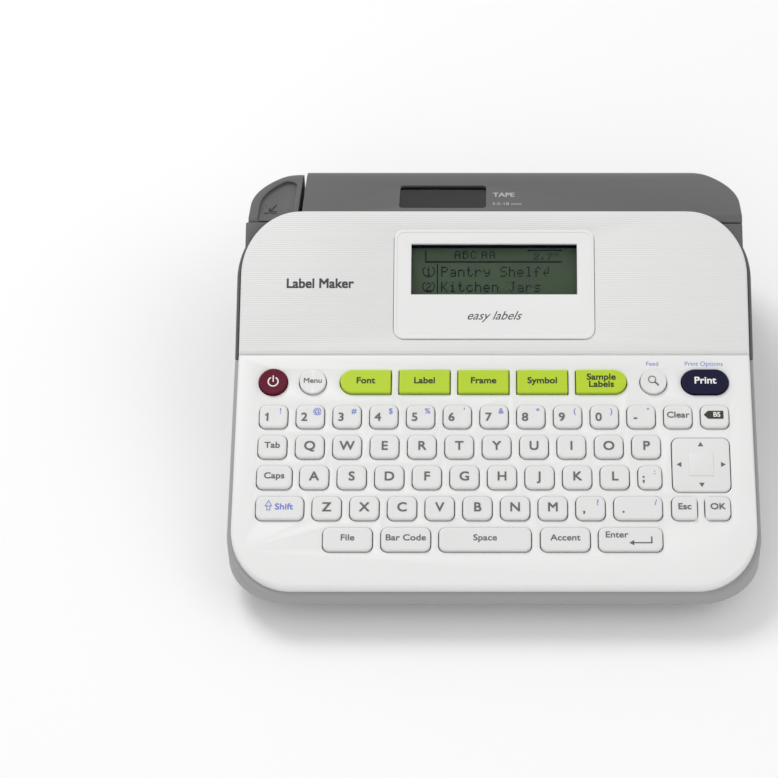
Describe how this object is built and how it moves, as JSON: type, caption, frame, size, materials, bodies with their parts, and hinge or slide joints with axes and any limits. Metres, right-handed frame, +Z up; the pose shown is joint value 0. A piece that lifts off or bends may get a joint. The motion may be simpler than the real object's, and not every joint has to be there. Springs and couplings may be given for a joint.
{
  "type": "desktop label maker",
  "caption": "Desktop label maker with a full keyboard, angled display, hinged rear cover over the tape cassette and batteries, and a corner lever that cuts the printed tape.",
  "frame": {"origin": "on the desk under the middle of the case, level with the feet's undersides", "axes": "+X to the right seen from the keys, +Y towards the back cover, +Z up"},
  "size_m": [0.188, 0.178, 0.072],
  "materials": {
    "white_plastic": "fine satin",
    "light_grey_plastic": "fine satin",
    "dark_grey_plastic": "fine grain",
    "key_white": "satin",
    "key_green": "satin",
    "key_wine": "satin",
    "key_navy": "satin",
    "window_clear": "polished",
    "window_smoked": "polished",
    "lcd": "polished",
    "circuit_board": "solder mask",
    "flat_cable": "film",
    "steel": "plain",
    "rubber_black": "matt",
    "silicone": "matt",
    "black_plastic": "satin",
    "cassette_plastic": "satin",
    "tape_white": "laminated film",
    "ribbon_black": "film",
    "nylon": "moulded",
    "brass": "machined",
    "cell_wrap": "printed film"
  },
  "bodies": {
    "case": {"base_housing": "light_grey_plastic", "rear_housing": "dark_grey_plastic", "keyboard_panel": "white_plastic", "display_panel": "white_plastic", "display_bezel": "white_plastic", "display_window": "window_clear", "lcd_glass": "lcd", "lcd_holder": "white_plastic", "display_cable": "flat_cable", "key_sheet": "silicone", "key_board": "circuit_board", "main_board": "circuit_board", "case_screws": "steel", "rubber_feet": "rubber_black", "dc_jack": "black_plastic", "hinge_pins": "steel", "mech_frame": "black_plastic", "cutter_rods": "steel", "cutter_springs": "steel", "cutter_anvil": "steel", "cassette_shell": "cassette_plastic", "label_tape": "tape_white", "print_head": "steel", "motor": "steel", "motor_bracket": "steel", "batteries": "cell_wrap", "battery_contacts": "steel"},
    "cover": {"back_cover": "dark_grey_plastic", "cover_window": "window_smoked"},
    "lever": {"cutter_lever": "dark_grey_plastic"},
    "carriage": {"cutter_carriage": "black_plastic", "cutter_blade": "steel"},
    "arm": {"platen_arm": "black_plastic"},
    "platen": {"platen_roller": "rubber_black", "platen_gear": "nylon"},
    "drive": {"drive_gear": "nylon"},
    "pinion": {"motor_pinion": "brass"},
    "transfer": {"transfer_gear": "nylon"},
    "ribbon_spindle": {"ribbon_gear": "nylon", "ribbon_takeup": "ribbon_black"},
    "supply": {"ribbon_supply": "ribbon_black"},
    "tape": {"tape_roll": "tape_white"},
    "nav_stem": {"nav_stem": "key_white"},
    "nav_pad": {"nav_pad": "key_white"},
    "power_key": {"power_key": "key_wine"},
    "menu_key": {"menu_key": "key_white"},
    "font_key": {"font_key": "key_green"},
    "label_key": {"label_key": "key_green"},
    "frame_key": {"frame_key": "key_green"},
    "symbol_key": {"symbol_key": "key_green"},
    "sample_key": {"sample_key": "key_green"},
    "preview_key": {"preview_key": "key_white"},
    "print_key": {"print_key": "key_navy"},
    "number_keys": {"number_keys": "key_white"},
    "upper_letter_keys": {"upper_letter_keys": "key_white"},
    "home_letter_keys": {"home_letter_keys": "key_white"},
    "lower_letter_keys": {"lower_letter_keys": "key_white"},
    "space_row_keys": {"space_row_keys": "key_white"}
  },
  "joints": [
    {"name": "cover_hinge", "type": "hinge", "parent": "case", "child": "cover", "pos_m": [0, 0.0865, 0.0146], "axis": [-1, 0, 0], "range_deg": [0, 90]},
    {"name": "arm_pivot", "type": "hinge", "parent": "case", "child": "arm", "pos_m": [-0.03, 0.06, 0.011], "axis": [0, -1, 0], "range_deg": [0, 3.3]},
    {"name": "lever_press", "type": "hinge", "parent": "case", "child": "lever", "pos_m": [-0.082, 0.047, 0.044], "axis": [-1, 0, 0], "range_deg": [0, 9], "stiffness_Nm_per_rad": 0.6, "springref_deg": -5.73},
    {"name": "carriage_slide", "type": "slide", "parent": "case", "child": "carriage", "axis": [0, 0, -1], "range_m": [0, 0.0028], "deforming": ["cutter_springs"]},
    {"name": "drive_spin", "type": "hinge", "parent": "case", "child": "drive", "pos_m": [-0.04237, 0.0457, 0.03343], "axis": [0, 1, 0], "continuous": true},
    {"name": "pinion_spin", "type": "hinge", "parent": "case", "child": "pinion", "pos_m": [-0.02317, 0.0457, 0.03343], "axis": [0, 1, 0], "continuous": true},
    {"name": "platen_spin", "type": "hinge", "parent": "arm", "child": "platen", "pos_m": [-0.0515, 0.0457, 0.01385], "axis": [0, 1, 0], "continuous": true},
    {"name": "transfer_spin", "type": "hinge", "parent": "case", "child": "transfer", "pos_m": [-0.01072, 0.0457, 0.04066], "axis": [0, 1, 0], "continuous": true},
    {"name": "ribbon_spin", "type": "hinge", "parent": "case", "child": "ribbon_spindle", "pos_m": [0.0015, 0.0457, 0.028], "axis": [0, 1, 0], "continuous": true},
    {"name": "supply_spin", "type": "hinge", "parent": "case", "child": "supply", "pos_m": [0.0015, 0.0645, 0.0478], "axis": [0, 1, 0], "continuous": true},
    {"name": "tape_spin", "type": "hinge", "parent": "case", "child": "tape", "pos_m": [-0.022, 0.0645, 0.038], "axis": [0, 1, 0], "continuous": true},
    {"name": "power_key_press", "type": "slide", "parent": "case", "child": "power_key", "axis": [0, 0.3007, -0.9537], "range_m": [0, 0.001], "stiffness_N_per_m": 350, "springref_m": -0.001},
    {"name": "menu_key_press", "type": "slide", "parent": "case", "child": "menu_key", "axis": [0, 0.3007, -0.9537], "range_m": [0, 0.001], "stiffness_N_per_m": 350, "springref_m": -0.001},
    {"name": "font_key_press", "type": "slide", "parent": "case", "child": "font_key", "axis": [0, 0.3007, -0.9537], "range_m": [0, 0.001], "stiffness_N_per_m": 350, "springref_m": -0.001},
    {"name": "label_key_press", "type": "slide", "parent": "case", "child": "label_key", "axis": [0, 0.3007, -0.9537], "range_m": [0, 0.001], "stiffness_N_per_m": 350, "springref_m": -0.001},
    {"name": "frame_key_press", "type": "slide", "parent": "case", "child": "frame_key", "axis": [0, 0.3007, -0.9537], "range_m": [0, 0.001], "stiffness_N_per_m": 350, "springref_m": -0.001},
    {"name": "symbol_key_press", "type": "slide", "parent": "case", "child": "symbol_key", "axis": [0, 0.3007, -0.9537], "range_m": [0, 0.001], "stiffness_N_per_m": 350, "springref_m": -0.001},
    {"name": "sample_key_press", "type": "slide", "parent": "case", "child": "sample_key", "axis": [0, 0.3007, -0.9537], "range_m": [0, 0.001], "stiffness_N_per_m": 350, "springref_m": -0.001},
    {"name": "preview_key_press", "type": "slide", "parent": "case", "child": "preview_key", "axis": [0, 0.3007, -0.9537], "range_m": [0, 0.001], "stiffness_N_per_m": 350, "springref_m": -0.001},
    {"name": "print_key_press", "type": "slide", "parent": "case", "child": "print_key", "axis": [0, 0.3007, -0.9537], "range_m": [0, 0.001], "stiffness_N_per_m": 350, "springref_m": -0.001},
    {"name": "number_keys_press", "type": "slide", "parent": "case", "child": "number_keys", "axis": [0, 0.3007, -0.9537], "range_m": [0, 0.001], "stiffness_N_per_m": 350, "springref_m": -0.001},
    {"name": "upper_letter_keys_press", "type": "slide", "parent": "case", "child": "upper_letter_keys", "axis": [0, 0.3007, -0.9537], "range_m": [0, 0.001], "stiffness_N_per_m": 350, "springref_m": -0.001},
    {"name": "home_letter_keys_press", "type": "slide", "parent": "case", "child": "home_letter_keys", "axis": [0, 0.3007, -0.9537], "range_m": [0, 0.001], "stiffness_N_per_m": 350, "springref_m": -0.001},
    {"name": "lower_letter_keys_press", "type": "slide", "parent": "case", "child": "lower_letter_keys", "axis": [0, 0.3007, -0.9537], "range_m": [0, 0.001], "stiffness_N_per_m": 350, "springref_m": -0.001},
    {"name": "space_row_keys_press", "type": "slide", "parent": "case", "child": "space_row_keys", "axis": [0, 0.3007, -0.9537], "range_m": [0, 0.001], "stiffness_N_per_m": 350, "springref_m": -0.001},
    {"name": "nav_rock_side", "type": "hinge", "parent": "case", "child": "nav_stem", "pos_m": [0.07345, -0.04226, 0.02933], "axis": [0, 0.9537, 0.3007], "range_deg": [-1.8, 1.8], "stiffness_Nm_per_rad": 0.06},
    {"name": "nav_rock_front", "type": "hinge", "parent": "nav_stem", "child": "nav_pad", "pos_m": [0.07345, -0.04226, 0.02933], "axis": [1, 0, 0], "range_deg": [-1.8, 1.8], "stiffness_Nm_per_rad": 0.06}
  ],
  "couplings": [
    {"joint": "arm_pivot", "follows": "cover_hinge", "ratio": 0.036},
    {"joint": "carriage_slide", "follows": "lever_press", "m_per_rad": 0.0175},
    {"joint": "pinion_spin", "follows": "drive_spin", "ratio": -3},
    {"joint": "platen_spin", "follows": "drive_spin", "ratio": -2},
    {"joint": "transfer_spin", "follows": "drive_spin", "ratio": 1.5},
    {"joint": "ribbon_spin", "follows": "drive_spin", "ratio": -1.8},
    {"joint": "supply_spin", "follows": "drive_spin", "ratio": -1.35},
    {"joint": "tape_spin", "follows": "drive_spin", "ratio": 0.66667}
  ]
}
